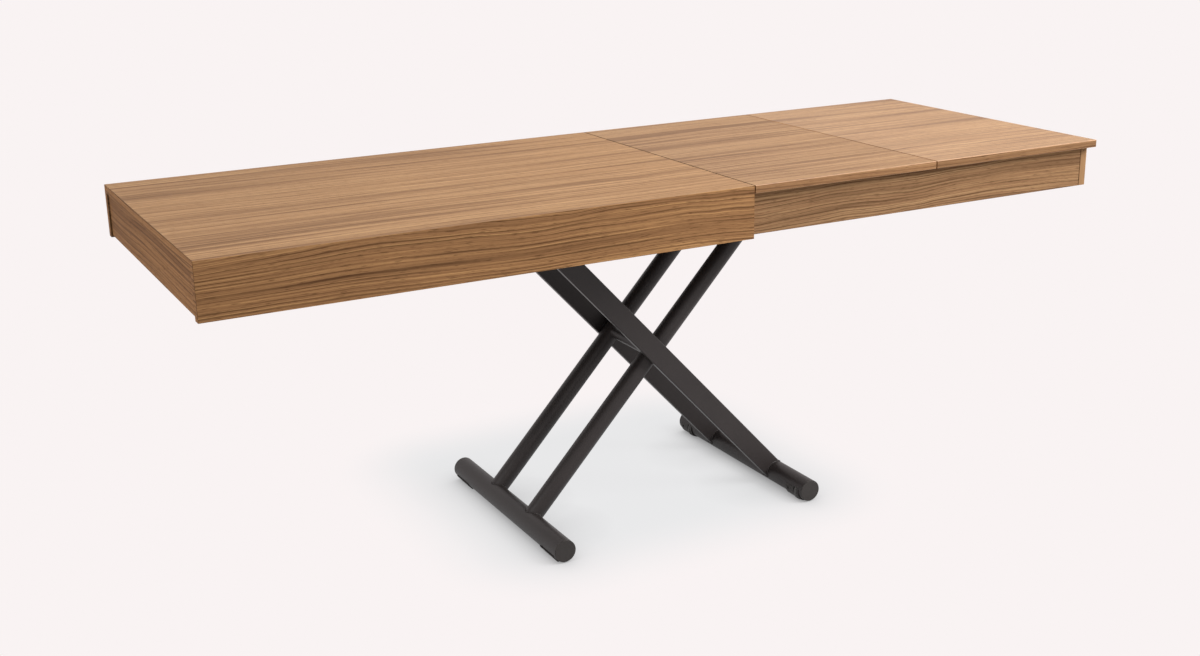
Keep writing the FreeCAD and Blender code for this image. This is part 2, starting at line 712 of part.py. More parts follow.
def build_release_lever():
    """Flat lever under the carriage that presses the valve pin of the gas spring."""
    pivot_x = gas_cross_left + cross_width / 2
    low = gas_z - lever_gauge / 2
    high = gas_z + lever_gauge / 2
    half = lever_width / 2
    grip_end = -frame_inner + lever_end_margin
    arm = block((pivot_x - half, pivot_x + half), (grip_end, 0), (low, high))
    nose = block((valve_pin_end + slide_fit, pivot_x + half), (-half, half), (low, high))
    shank_foot = FreeCAD.Vector(pivot_x, lever_pivot_y, low - slide_fit)
    shank_top = FreeCAD.Vector(pivot_x, lever_pivot_y, beam_bottom)
    bore = rod(lever_pivot_diameter / 2 + running_fit, shank_foot, shank_top)
    lever = arm.fuse(nose).removeSplitter().cut(bore)
    save("release_lever", lever)
    head_foot = shank_foot - FreeCAD.Vector(0, 0, lever_head_height)
    shank = rod(lever_pivot_diameter / 2, shank_foot, shank_top)
    save("lever_pivot", rod(lever_head_diameter / 2, head_foot, shank_foot).fuse(shank).removeSplitter())

    grip_start = FreeCAD.Vector(pivot_x, grip_end - runner_wall, gas_z)
    grip = rod(grip_diameter / 2 + half / 2, grip_start, grip_start + Y_AXIS * grip_length)
    flat = block(
        (pivot_x - lever_width, pivot_x + lever_width), (grip_end - runner_wall, grip_end + grip_length),
        (gas_z - grip_diameter / 2, gas_z + grip_diameter / 2))
    pocket = block(
        (pivot_x - half, pivot_x + half), (grip_end, grip_end + grip_length), (low, high))
    save("lever_grip", grip.common(flat).cut(pocket))


os.makedirs("parts", exist_ok=True)
build_outer_box()
build_leaves()
build_inner_frame()
build_carriage()
build_tube_leg()
build_rollers()
build_bar_leg()
build_lift_crank()
build_wheels()
build_floor_shoes()
build_gas_spring()
build_release_lever()
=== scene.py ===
# %% [markdown]
# # An extending dining table on a scissor base
# The CAD model brings every rigid piece at its real size: the walnut box, two loose leaves, the frame
# that draws out, and the steel scissor with its gas spring. This lesson gives those pieces their finish.
# We round the arrises of the boards, grow a walnut veneer from noise, coat the steel, run weld beads
# round the joints and then light the table as a studio would. Nothing made by the CAD model is moved.

# %% Load the frame
import json
import math

import bmesh
import bpy
from mathutils import Color, Matrix, Quaternion, Vector


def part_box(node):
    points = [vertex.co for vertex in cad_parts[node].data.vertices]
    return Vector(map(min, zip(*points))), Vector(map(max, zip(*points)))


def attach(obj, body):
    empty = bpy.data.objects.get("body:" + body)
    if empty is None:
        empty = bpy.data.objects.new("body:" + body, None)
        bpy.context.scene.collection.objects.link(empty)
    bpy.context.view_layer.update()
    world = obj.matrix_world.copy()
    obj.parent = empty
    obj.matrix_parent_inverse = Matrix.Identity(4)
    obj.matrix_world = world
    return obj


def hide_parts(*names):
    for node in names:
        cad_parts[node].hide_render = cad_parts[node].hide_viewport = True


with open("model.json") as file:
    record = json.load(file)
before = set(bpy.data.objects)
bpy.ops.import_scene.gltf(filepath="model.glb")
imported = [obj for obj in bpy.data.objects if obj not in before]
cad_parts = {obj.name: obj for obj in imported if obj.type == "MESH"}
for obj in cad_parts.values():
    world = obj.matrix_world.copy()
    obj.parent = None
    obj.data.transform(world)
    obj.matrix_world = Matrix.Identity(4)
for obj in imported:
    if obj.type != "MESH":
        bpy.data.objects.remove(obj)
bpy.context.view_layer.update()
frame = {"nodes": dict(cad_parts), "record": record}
body_of_node = {
    member: body for body, members in frame["record"]["behaviour"]["bodies"].items() for member in members
}
slot_of_node = {part["node"]: part["material_slot"] for part in frame["record"]["subparts"]}

# %% [markdown]
# ## Nodes and links
# A material in Blender is a graph of nodes. Writing each link by hand is long, so a few helpers keep the
# later cells short: one adds a node, one feeds a socket with a link or a plain value, and the others make
# what wood and paint need most, which are sums, soft steps and blends of two colours.

# %% Node helpers
full_channel = 255
# Sockets of the Mix node when it blends colours
mix_share, mix_first, mix_second, mix_result = 0, 6, 7, 2


def linear(shade, tint=1.0):
    """Screen colour, 0 to 255, as the linear colour that shaders work in, scaled by a tint."""
    light = Color([channel / full_channel for channel in shade]).from_srgb_to_scene_linear()
    return (*(light * tint), 1.0)


def add(tree, kind, **settings):
    """One shader node with its settings."""
    made = tree.nodes.new("ShaderNode" + kind)
    for setting, value in settings.items():
        setattr(made, setting, value)
    return made


def feed(tree, socket, value):
    """Link a socket to an output, or give it a plain value."""
    if isinstance(value, bpy.types.NodeSocket):
        tree.links.new(value, socket)
    else:
        socket.default_value = value


def reckon(tree, operation, *values):
    """Arithmetic on sockets and numbers."""
    made = add(tree, "Math", operation=operation)
    for socket, value in zip(made.inputs, values):
        feed(tree, socket, value)
    return made.outputs[0]


def soft_step(tree, value, low, high, start=0.0, end=1.0):
    """Smooth rise from start to end while value goes from low to high."""
    made = add(tree, "MapRange", interpolation_type="SMOOTHSTEP")
    for socket, number in zip(made.inputs, (value, low, high, start, end)):
        feed(tree, socket, number)
    return made.outputs[0]


def mixed(tree, share, first, second):
    """Blend of two colours by a share."""
    made = add(tree, "Mix", data_type="RGBA")
    for number, value in ((mix_share, share), (mix_first, first), (mix_second, second)):
        feed(tree, made.inputs[number], value)
    return made.outputs[mix_result]


print("a middle screen grey is", round(linear((128, 128, 128))[0], 3), "in linear light")

# %% [markdown]
# ## Noise, groups and materials
# Nearly every natural surface starts from noise, read at a place on the piece and stretched where the real
# thing has a direction. A pattern that several materials share is built once, as a group of nodes with
# named sockets, and each material places it with its own values, so there is one pattern to look after.

# %% Noise, group and material helpers
noise_roughness = 0.55


def plain_noise(tree, vector, detail, roughness=noise_roughness, scale=1.0):
    """Soft noise read at a vector."""
    noise = add(tree, "TexNoise")
    settings = {"Vector": vector, "Scale": scale, "Detail": detail, "Roughness": roughness}
    for label, value in settings.items():
        feed(tree, noise.inputs[label], value)
    return noise.outputs[0]


def stretched_noise(tree, vector, per_metre, detail):
    """Noise with so many features a metre along each axis."""
    stretch = add(tree, "Mapping")
    feed(tree, stretch.inputs["Vector"], vector)
    stretch.inputs["Scale"].default_value = per_metre
    return plain_noise(tree, stretch.outputs[0], detail)


def new_group(name, inputs, outputs):
    """Empty shader group with named sockets."""
    group = bpy.data.node_groups.new(name, "ShaderNodeTree")
    for way, sockets in (("INPUT", inputs), ("OUTPUT", outputs)):
        for label, kind in sockets.items():
            group.interface.new_socket(label, in_out=way, socket_type="NodeSocket" + kind)
    return group, group.nodes.new("NodeGroupInput"), group.nodes.new("NodeGroupOutput")


def place_group(tree, group, **values):
    """A shader group inside a material, with its inputs fed."""
    made = add(tree, "Group", node_tree=group)
    for label, value in values.items():
        feed(tree, made.inputs[label], value)
    return made


def new_material(name):
    """New material, with its node tree and its shader."""
    material = bpy.data.materials.new(name)
    material.use_nodes = True
    return material, material.node_tree, material.node_tree.nodes["Principled BSDF"]


def bump(tree, shader, height, strength, depth):
    """Fine relief on a shader's normal."""
    made = add(tree, "Bump")
    made.inputs["Strength"].default_value = strength
    made.inputs["Distance"].default_value = depth
    feed(tree, made.inputs["Height"], height)
    feed(tree, shader.inputs["Normal"], made.outputs[0])


print("helpers for noise, groups and materials are ready")

# %% [markdown]
# ## The flow of the walnut
# A veneer leaf is sliced from a log, so its lines are year rings cut lengthwise: they run along the board,
# drift slowly across it, bunch up and part, and now and then close into an eye. An image would repeat, so
# the figure is grown from noise. One number, the ring, is the place across the grain plus a slow drift and
# a wave that grows near an eye. Everything else is read along that ring, so all of it follows one flow.

# %% Walnut group and the flow of its rings
walnut_figure, figure_in, figure_out = new_group(
    "walnut_figure",
    {"Vector": "Vector", "Bands": "Float", "Years": "Float", "Drift": "Float", "Wave": "Float",
     "Contrast": "Float", "Streaks": "Float", "Light": "Color", "Middle": "Color", "Dark": "Color"},
    {"Color": "Color", "Fibre": "Float", "Pore": "Float"},
)
# Features a metre along, across and into the board, then detail
drift_noise = ((1.5, 2.2, 2.2), 1.0)
wave_noise = ((4.0, 12.0, 12.0), 2.0)
eye_noise = ((2.1, 3.6, 3.6), 1.0)
noise_middle = 0.5
eye_rise = (0.60, 0.74, 0.0, 0.045)
ring_slant = 0.35


def ring_flow(tree, given):
    """The place along the grain, and the ring across it."""
    axes = add(tree, "SeparateXYZ")
    feed(tree, axes.inputs[0], given["Vector"])
    along, across, into = axes.outputs
    drift = reckon(tree, "SUBTRACT", stretched_noise(tree, given["Vector"], *drift_noise), noise_middle)
    wave = reckon(tree, "SUBTRACT", stretched_noise(tree, given["Vector"], *wave_noise), noise_middle)
    eyes = soft_step(tree, stretched_noise(tree, given["Vector"], *eye_noise), *eye_rise)
    reach = reckon(tree, "ADD", eyes, given["Wave"])
    ring = reckon(tree, "MULTIPLY_ADD", into, ring_slant, across)
    ring = reckon(tree, "MULTIPLY_ADD", drift, given["Drift"], ring)
    return along, reckon(tree, "MULTIPLY_ADD", wave, reach, ring)


def grain_noise(tree, flow, per_metre, rings, detail, roughness):
    """Noise drawn out along the grain that changes so many times a metre across the rings."""
    laid = add(tree, "CombineXYZ")
    for number, (way, count) in enumerate(zip(flow, (per_metre, rings))):
        feed(tree, laid.inputs[number], reckon(tree, "MULTIPLY", way, count))
    return plain_noise(tree, laid.outputs[0], detail, roughness)


print("walnut group:", [socket.name for socket in figure_in.outputs if socket.name])

# %% [markdown]
# ## Year lines
# The wood of each year darkens slowly and ends sharply, so a year line has a soft side and a hard one. A
# sine wave would be the same on both sides, so the years are counted along the ring and the fraction of
# that count is shaped by two steps. Noise bunches the lines and lets each come and go along the board.
# Between the strong lines run more and thinner ones, as they do in slow-grown walnut.

# %% Late wood
# Features a metre along the grain and across the rings, then detail and roughness
bunch_noise = (0.9, 40.0, 2.0, 0.5)
strength_noise = (2.4, 90.0, 2.0, 0.6)
bunch_years = 2.6
late_rise = (0.45, 0.88)
late_end = (1.0, 0.92)
strength_rise = (0.34, 0.62, 0.25, 1.0)
thin_years = 2.6
thin_weight = 0.45


def year_lines(tree, flow, years):
    """Dark late wood at the end of each year, which comes and goes along the board."""
    bunch = reckon(tree, "MULTIPLY", grain_noise(tree, flow, *bunch_noise), bunch_years)
    year = reckon(tree, "FRACT", reckon(tree, "MULTIPLY_ADD", flow[1], years, bunch))
    late = reckon(tree, "MULTIPLY", soft_step(tree, year, *late_rise), soft_step(tree, year, *late_end))
    strength = soft_step(tree, grain_noise(tree, flow, *strength_noise), *strength_rise)
    return reckon(tree, "MULTIPLY", late, strength)


def late_wood(tree, flow, years):
    """Strong lines at the years, with thin ones between them."""
    strong = year_lines(tree, flow, years)
    thin = year_lines(tree, flow, reckon(tree, "MULTIPLY", years, thin_years))
    return reckon(tree, "MAXIMUM", strong, reckon(tree, "MULTIPLY", thin, thin_weight))


print("thin lines to a strong one:", thin_years)

# %% [markdown]
# ## Bands, streaks, fibres and pores
# Under the lines the wood changes from light to middle brown in broad bands, with narrow streaks and fine
# fibres in them, and where a band is darkest it draws a broad dark streak. Short flecks and pores are the
# cut vessels of the wood. All of them are the same noise at other sizes, from a hand's width to a hair.

# %% Grow the walnut figure
# Features a metre along the grain and across the rings, then detail and roughness
streak_noise = (1.6, 240.0, 3.0, 0.65)
fibre_noise = (5.0, 520.0, 2.0, 0.6)
pore_noise = (48.0, 900.0, 1.0, 0.5)
fleck_noise = (30.0, 420.0, 2.0, 0.6)
band_length, band_detail, band_roughness = 0.7, 3.0, 0.6
band_tone, streak_tone, fibre_tone = 0.35, 0.75, 0.40
tone_rise = (0.71, 0.91)
broad_rise = (0.50, 0.36)
pore_rise = (0.58, 0.70)
fleck_rise = (0.57, 0.70)
pore_weight = 0.30
fleck_weight = 0.60


def wood_tone(tree, flow, bands, fibre):
    """How light the wood is between its lines."""
    tone = reckon(tree, "MULTIPLY", grain_noise(tree, flow, *streak_noise), streak_tone)
    tone = reckon(tree, "MULTIPLY_ADD", bands, band_tone, tone)
    tone = reckon(tree, "MULTIPLY_ADD", fibre, fibre_tone, tone)
    return soft_step(tree, tone, *tone_rise)


def grow_walnut(tree, inputs, outputs):
    """Nodes of the walnut figure: grain along X, the face of the board in X and Y."""
    given = inputs.outputs
    flow = ring_flow(tree, given)
    bands = grain_noise(tree, flow, band_length, given["Bands"], band_detail, band_roughness)
    fibre = grain_noise(tree, flow, *fibre_noise)
    pore = soft_step(tree, grain_noise(tree, flow, *pore_noise), *pore_rise)
    fleck = soft_step(tree, grain_noise(tree, flow, *fleck_noise), *fleck_rise)

    broad = reckon(tree, "MULTIPLY", soft_step(tree, bands, *broad_rise), given["Streaks"])
    late = reckon(tree, "MULTIPLY", late_wood(tree, flow, given["Years"]), given["Contrast"])
    spots = reckon(tree, "MULTIPLY", fleck, fleck_weight)
    spots = reckon(tree, "MAXIMUM", spots, reckon(tree, "MULTIPLY", pore, pore_weight))

    colour = mixed(tree, wood_tone(tree, flow, bands, fibre), given["Middle"], given["Light"])
    for share in (broad, late, spots):
        colour = mixed(tree, share, colour, given["Dark"])
    for label, value in (("Color", colour), ("Fibre", fibre), ("Pore", pore)):
        feed(tree, outputs.inputs[label], value)


grow_walnut(walnut_figure, figure_in, figure_out)
print("walnut figure:", len(walnut_figure.nodes), "nodes")

# %% [markdown]
# ## Cuts of veneer
# The grain runs along the table on the top and the long sides, across it on the end panels, and upright
# on the narrow strip that closes the frame. The group always grows its lines along X, so each material
# turns the object's coordinates first. How the log was sliced sets how wide the bands are and how far the
# lines wander, so each kind of face is a cut with its own colours and counts.

# %% Cuts of veneer
grain_turns = {
    "top": Matrix.Identity(3).to_euler(),
    "side": Matrix(((1, 0, 0), (0, 0, 1), (0, -1, 0))).to_euler(),
    "end": Matrix(((0, 1, 0), (0, 0, 1), (1, 0, 0))).to_euler(),
    "post": Matrix(((0, 0, 1), (1, 0, 0), (0, 1, 0))).to_euler(),
}
# Turn of the grain, screen colours of the light, middle and dark wood, bands and years a metre, drift and
# wave in metres, and how strongly the year lines and the broad streaks darken
veneer_cuts = {
    "top": ("top", (199, 158, 115), (176, 135, 96), (104, 72, 48), 26, 72, 0.04, 0.006, 0.66, 0.50),
    "leaf": ("top", (198, 159, 118), (176, 136, 99), (103, 72, 50), 26, 72, 0.04, 0.006, 0.68, 0.50),
    "side": ("side", (207, 156, 105), (174, 127, 86), (77, 50, 34), 50, 124, 0.05, 0.008, 0.80, 0.20),
    "frame": ("side", (199, 157, 114), (170, 129, 93), (81, 55, 38), 44, 132, 0.08, 0.016, 0.78, 0.42),
    "edge": ("side", (194, 150, 108), (168, 125, 88), (96, 66, 46), 60, 132, 0.02, 0.002, 0.80, 0.20),
    "end": ("end", (184, 134, 87), (162, 115, 73), (86, 55, 35), 34, 104, 0.02, 0.003, 0.76, 0.36),
    "post": ("post", (190, 150, 109), (172, 132, 94), (140, 102, 70), 60, 160, 0.03, 0.004, 0.35, 0.20),
}
lacquer_rough = 0.50
fibre_rough = 0.10
pore_rough = 0.14
pore_height = -0.8
wood_relief = 0.20
wood_relief_depth = 0.0003


def walnut_veneer(name, cut, shift, tint=1.0, shine=0.03):
    """Satin-lacquered walnut with its grain laid for one face of a board."""
    turn, *shades, bands, years, drift, wave, contrast, streaks = veneer_cuts[cut]
    light, middle, dark = [linear(shade, tint) for shade in shades]
    material, tree, shader = new_material(name)
    laid = add(tree, "Mapping")
    feed(tree, laid.inputs["Vector"], add(tree, "TexCoord").outputs["Object"])
    laid.inputs["Rotation"].default_value = grain_turns[turn]
    laid.inputs["Location"].default_value = shift
    figure = place_group(
        tree, walnut_figure, Vector=laid.outputs[0], Bands=bands, Years=years, Drift=drift, Wave=wave,
        Contrast=contrast, Streaks=streaks, Light=light, Middle=middle, Dark=dark)
    fibre, pore = figure.outputs["Fibre"], figure.outputs["Pore"]
    feed(tree, shader.inputs["Base Color"], figure.outputs["Color"])
    rough = reckon(tree, "MULTIPLY_ADD", fibre, fibre_rough, lacquer_rough)
    feed(tree, shader.inputs["Roughness"], reckon(tree, "MULTIPLY_ADD", pore, pore_rough, rough))
    shader.inputs["Specular IOR Level"].default_value = shine
    height = reckon(tree, "MULTIPLY_ADD", pore, pore_height, fibre)
    bump(tree, shader, height, wood_relief, wood_relief_depth)
    return material


print("cuts:", ", ".join(veneer_cuts))

# %% [markdown]
# ## One veneer for each face
# Each board takes a cut and a shift, so that no two show the same figure. The two leaves come from one run
# of veneer: they share both, and their lines cross the seam. Their long edges share one cut in two tints,
# lighter on the inner leaf and darker on the outer: painted light and shade that evens out how the lamps
# fall along the side. The arris at the seam of the top, and those at the left corners of the box, are
# painted dark, painted shade that draws the thin shadow line of the seam and the corner, while the long
# arrises of the leaves are painted pale, a painted highlight. Each of these is a veneer of its own in a
# darker or lighter tint. The rounded faces alone take it, so the line follows the arris exactly.

# %% Veneer materials
# Cut, shift in metres, then tint and shine
veneer_faces = {
    "box_top": ("top", (0.0, 3.10, 0.0), 1.0, 0.07),
    "box_front": ("side", (2.9, 4.46, 0.5), 0.98),
    "box_rear": ("side", (5.3, 2.70, 1.1)),
    "box_end": ("end", (1.7, 4.60, 0.2)),
    "inner_leaf": ("leaf", (2.2, 6.40, 0.0), 0.93, 0.10),
    "outer_leaf": ("leaf", (2.2, 6.40, 0.0), 0.99, 0.28),
    # The same edge veneer in a lighter and a darker tint: painted light on the inner leaf's edges and
    # painted shade on the outer's, which even out how the lamps fall along the side.
    "inner_edge": ("edge", (3.1, 5.80, 0.7), 1.10),
    "outer_edge": ("edge", (3.1, 5.80, 0.7), 0.88),
    "frame_front": ("frame", (9.1, 7.16, 0.9), 0.96),
    "frame_rear": ("frame", (11.8, 9.90, 0.3), 0.95),
    "frame_end": ("end", (4.8, 6.10, 0.6)),
    "frame_strip": ("post", (6.6, 1.30, 2.1)),
    "end_band": ("end", (8.5, 2.40, 1.4)),
    # Dark tint for seam arrises and joint faces: painted shade for the shadow line in the seams.
    "seam_end": ("end", (7.2, 3.70, 0.8), 0.14),
    "leaf_seam": ("end", (7.7, 4.10, 0.3)),
    # Pale tint for the long arrises of the leaves: a painted highlight, with a strong shine.
    "leaf_arris": ("edge", (3.3, 6.20, 0.4), 1.60, 1.0),
    # Dark tint for the left corner arrises: painted shade for the shadow line at the corners.
    "corner_line": ("post", (7.9, 4.70, 1.2), 0.14),
}
veneers = {face: walnut_veneer("walnut_" + face, *choice) for face, choice in veneer_faces.items()}
# The inside faces take a backing veneer in a dark tint: painted shade, so that the gaps into the box look
# dark.
veneers["backing"] = walnut_veneer("backing_painted_shade", "side", (1.5, 8.20, 2.6), 0.45)
print("veneers:", ", ".join(sorted(veneers)))

# %% [markdown]
# ## From a bmesh to a piece of the table
# A bmesh is the editable form of a mesh, and its operators do what a modeller does by hand. A CAD mesh is
# loose triangles, so a copy is merged and its flat faces cleaned before anything is shaped. A finished
# piece keeps its place in its mesh, with the object at the origin, and rides on one body of the motion.

# %% Helpers for pieces
merge_distance = 1e-5
flat_angle = math.radians(1.0)
smooth_angle = math.radians(35.0)


def merged_copy(node):
    """The solid of a CAD node as one clean bmesh."""
    shape = bmesh.new()
    shape.from_mesh(frame["nodes"][node].data)
    bmesh.ops.remove_doubles(shape, verts=shape.verts, dist=merge_distance)
    bmesh.ops.dissolve_limit(shape, angle_limit=flat_angle, verts=shape.verts, edges=shape.edges)
    return shape


def mesh_of(name, shape):
    """A bmesh written to a mesh and freed."""
    mesh = bpy.data.meshes.new(name)
    shape.to_mesh(mesh)
    shape.free()
    return mesh


def scene_object(name, data):
    """New object in the scene that holds a mesh, a lamp or a camera."""
    made = bpy.data.objects.new(name, data)
    bpy.context.scene.collection.objects.link(made)
    return made


def finished_piece(name, shape, body, materials, smooth=False):
    """Turn a bmesh into a piece of the table that rides on a body."""
    mesh = mesh_of(name, shape)
    if smooth:
        mesh.shade_smooth()
        mesh.set_sharp_from_angle(angle=smooth_angle)
    piece = scene_object(name, mesh)
    for material in materials:
        mesh.materials.append(material)
    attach(piece, body)
    return piece


def round_edges(shape, edges, width, segments):
    """Bevel edges to a round."""
    bmesh.ops.bevel(
        shape, geom=edges, offset=width, offset_type="OFFSET", affect="EDGES", segments=segments,
        profile=0.5, material=-1, clamp_overlap=True)


print("helpers for pieces are ready")

# %% [markdown]
# ## Boards with eased arrises
# A lacquered edge is never a perfect corner: the sander breaks it, and that thin round is what catches
# the light along a table edge. A bevel modifier would round every edge, so the bevel operator is given the
# outer edges between two square faces. The mitred edges of the box stay as they are, because a glued mitre
# has no groove. The copy then stands for the CAD board, and each of its faces takes what was laid on that
# side: veneer outside, and inside a backing sheet in a dark tint, painted shade so that the gaps into the
# box look dark. The ends of the frame sides, where they meet the end panel, are dark all over, painted shade
# in that joint. At a seam or a corner the rounded arris alone takes a dark tint, painted shade for the thin
# line there, and the long arrises of the leaves take a pale one, a painted highlight, so that a leaf that is
# lifted off has a plain end.

# %% Eased boards
square_face = 0.99
arris_share = 0.3
arris_segments = 2
board_ease = 0.0007
leaf_ease = 0.0012
# Axis and way that each side of a board faces
board_sides = {"left": (0, -1), "right": (0, 1), "front": (1, -1), "rear": (1, 1), "under": (2, -1)}


def is_square(face):
    """Whether a face lies flat to one of the axes."""
    return max(abs(part) for part in face.normal) > square_face


def ease_square_edges(shape, ease):
    """Round every sharp outer edge between two square faces."""
    sharp = [edge for edge in shape.edges if edge.is_convex and edge.calc_face_angle() > smooth_angle]
    arrises = [edge for edge in sharp if all(is_square(face) for face in edge.link_faces)]
    round_edges(shape, arrises, ease, arris_segments)


def eased_board(node, main, ease=board_ease, seams=(), **laid):
    """Round a board's arrises, lay a main veneer, and lay others on the sides and arrises that are named."""
    shape = merged_copy(node)
    ease_square_edges(shape, ease)
    names = [main] + sorted(set(laid.values()) | {veneer for word, veneer in seams})
    for face in shape.faces:
        for word, veneer in (*laid.items(), *seams):
            axis, sign = board_sides[word]
            share = face.normal[axis] * sign
            if share > arris_share and not ((word, veneer) in seams and share > square_face):
                face.material_index = names.index(veneer)
    board = finished_piece(
        node + "_veneered", shape, body_of_node[node], [veneers[name] for name in names])
    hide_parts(node)
    return board


# The seam and corner arrises, and the right ends of the frame sides, take dark veneer as painted shade; the
# long arrises of the leaves take a pale one as a painted highlight.
banded_ends = {"left": "end_band", "right": "end_band"}
frame_ends = {"left": "end_band", "right": "seam_end"}
corner_line = ("left", "corner_line")
highlighted_arrises = [("front", "leaf_arris"), ("rear", "leaf_arris")]
inner_seams = [*highlighted_arrises, ("left", "seam_end"), ("right", "leaf_seam")]
outer_seams = [*highlighted_arrises, ("left", "leaf_seam")]
boards = [
    eased_board(
        "top_panel", "box_top", seams=[corner_line, ("right", "seam_end")], **banded_ends, under="backing"),
    eased_board("front_side_panel", "box_front", seams=[corner_line], **banded_ends, rear="backing"),
    eased_board("rear_side_panel", "box_rear", seams=[corner_line], **banded_ends, front="backing"),
    eased_board("left_end_panel", "box_end", right="backing"),
    eased_board(
        "inner_leaf", "inner_leaf", leaf_ease, inner_seams, front="inner_edge", rear="inner_edge",
        **banded_ends),
    eased_board(
        "outer_leaf", "outer_leaf", leaf_ease, outer_seams, front="outer_edge", rear="outer_edge",
        **banded_ends),
    eased_board("front_frame_side", "frame_front", **frame_ends, rear="backing"),
    eased_board("rear_frame_side", "frame_rear", **frame_ends, front="backing"),
    eased_board("frame_end_panel", "frame_end", front="frame_strip", rear="frame_strip", left="backing"),
]
print("boards:", {board.name: len(board.data.polygons) for board in boards})

# %% [markdown]
# ## Powder coat, plastic and plated steel
# Powder is sprayed dry on the steel and melted in an oven, which leaves a fine orange-peel skin. Moulded
# plastic has a similar but finer texture from its tool, and zinc plate has a faint cloudy spangle. All
# three are the same idea, a fine grain with a slow change of shade, so one group serves them all.

# %% Fine skin as a shader group
fine_skin, skin_in, skin_out = new_group(
    "fine_skin",
    {"Vector": "Vector", "Grain": "Float", "Patch": "Float", "Low": "Color", "High": "Color"},
    {"Color": "Color", "Grain": "Float", "Patch": "Float"},
)
skin_detail = {"Grain": 2.0, "Patch": 3.0}
skin_weight = 0.5
skin_rise = (0.35, 0.65)


def grow_skin(tree, inputs, outputs):
    """Nodes of a fine sprayed or moulded skin."""
    given = inputs.outputs
    weighed = {}
    for label, detail in skin_detail.items():
        value = plain_noise(tree, given["Vector"], detail, scale=given[label])
        feed(tree, outputs.inputs[label], value)
        weighed[label] = reckon(tree, "MULTIPLY", value, skin_weight)
    share = reckon(tree, "ADD", weighed["Grain"], weighed["Patch"])
    colour = mixed(tree, soft_step(tree, share, *skin_rise), given["Low"], given["High"])
    feed(tree, outputs.inputs["Color"], colour)


grow_skin(fine_skin, skin_in, skin_out)
print("fine skin:", len(fine_skin.nodes), "nodes")

# %% [markdown]
# ## The finishes under the top
# The legs wear a dark graphite coat with a soft shine, and the carriage that holds them a duller one. The
# feet have plastic caps and shoes, and wheels with grey tyres. Rollers and guide blocks are nylon, runners
# and pins are zinc plated, and the gas spring has a black tube and a chromed rod. Each is the skin above
# with its own colours, sizes and shine, given in a row of a table. The batten is walnut, like the boards.

# %% Finishes
# Name, low and high screen colours, grains and patches a metre, least roughness and its change, relief,
# then metal and shine
coats = {
    "leg_coat": ("graphite_coat", (49, 44, 43), (59, 53, 52), 900, 5, (0.33, 0.12), 0.10, 0.0, 0.34),
    "carriage_coat": ("carriage_coat", (50, 47, 46), (62, 58, 57), 700, 5, (0.38, 0.12), 0.12),
    "foot_plastic": ("foot_plastic", (56, 52, 50), (66, 62, 60), 1600, 9, (0.42, 0.10), 0.25, 0.0, 0.30),
    "wheel_rubber": ("wheel_rubber", (88, 86, 84), (106, 103, 101), 1300, 30, (0.50, 0.14), 0.30),
    "nylon": ("nylon", (222, 219, 210), (236, 234, 227), 1100, 20, (0.40, 0.10), 0.20),
    "dark_nylon": ("dark_nylon", (40, 39, 39), (52, 50, 50), 1100, 20, (0.42, 0.10), 0.20),
    "zinc_steel": ("zinc_steel", (186, 188, 190), (214, 215, 216), 260, 22, (0.24, 0.14), 0.10, 1.0),
    "gas_black": ("gas_black", (26, 26, 27), (34, 34, 35), 500, 12, (0.18, 0.06), 0.08),
    "rod_chrome": ("rod_chrome", (216, 217, 219), (228, 229, 230), 900, 30, (0.04, 0.05), 0.03, 1.0),
    "grip_rubber": ("grip_rubber", (42, 42, 42), (54, 53, 53), 1500, 25, (0.55, 0.16), 0.40),
}
skin_relief_depth = 0.0002


def skinned(name, low, high, grain, patch, rough, relief, metallic=0.0, shine=0.5):
    """Coated, moulded or plated material with a fine skin."""
    material, tree, shader = new_material(name)
    skin = place_group(
        tree, fine_skin, Vector=add(tree, "TexCoord").outputs["Object"], Grain=grain, Patch=patch,
        Low=linear(low), High=linear(high))
    feed(tree, shader.inputs["Base Color"], skin.outputs["Color"])
    shader.inputs["Metallic"].default_value = metallic
    shader.inputs["Specular IOR Level"].default_value = shine
    least, change = rough
    dull = reckon(tree, "MULTIPLY_ADD", skin.outputs["Grain"], change, least)
    feed(tree, shader.inputs["Roughness"], reckon(tree, "MULTIPLY_ADD", skin.outputs["Patch"], change, dull))
    bump(tree, shader, skin.outputs["Grain"], relief, skin_relief_depth)
    return material


finishes = {slot: skinned(*coat) for slot, coat in coats.items()}
finishes["batten_wood"] = walnut_veneer("batten_wood", "end", (2.0, 5.0, 1.0))
print("finishes:", ", ".join(sorted(finishes)))

# %% [markdown]
# ## Finishes on the CAD pieces
# The record says which finish each CAD node has, by the name of a material slot. A short loop looks each
# name up and swaps the plain imported colour for the finish made above. The nodes keep their shape and
# place: only what fills their slots changes. The bushes at the crossing are the one exception: they are
# moulded in black, so that nothing pale shows between the legs.

# %% Dress the CAD nodes
own_finish = {"axle_bushes": "dark_nylon"}


def finish_of(node):
    """The finish a CAD node takes."""
    return finishes[own_finish.get(node, slot_of_node[node])]


dressed = {}
for name, node in frame["nodes"].items():
    if node.hide_render:
        continue
    finish = finish_of(name)
    for holder in node.material_slots:
        holder.material = finish
    dressed[finish.name] = dressed.get(finish.name, 0) + 1
print("dressed:", dressed)

# %% [markdown]
# ## Rounded sections under the top
# The beams, cross tubes and angles of the carriage are rolled steel and the guide blocks are moulded, so
# none of them has a knife edge. They are only seen from below, but there the thin light line on each
# edge is what tells a steel section from a plain box. Each is copied, eased and set in place of its node.

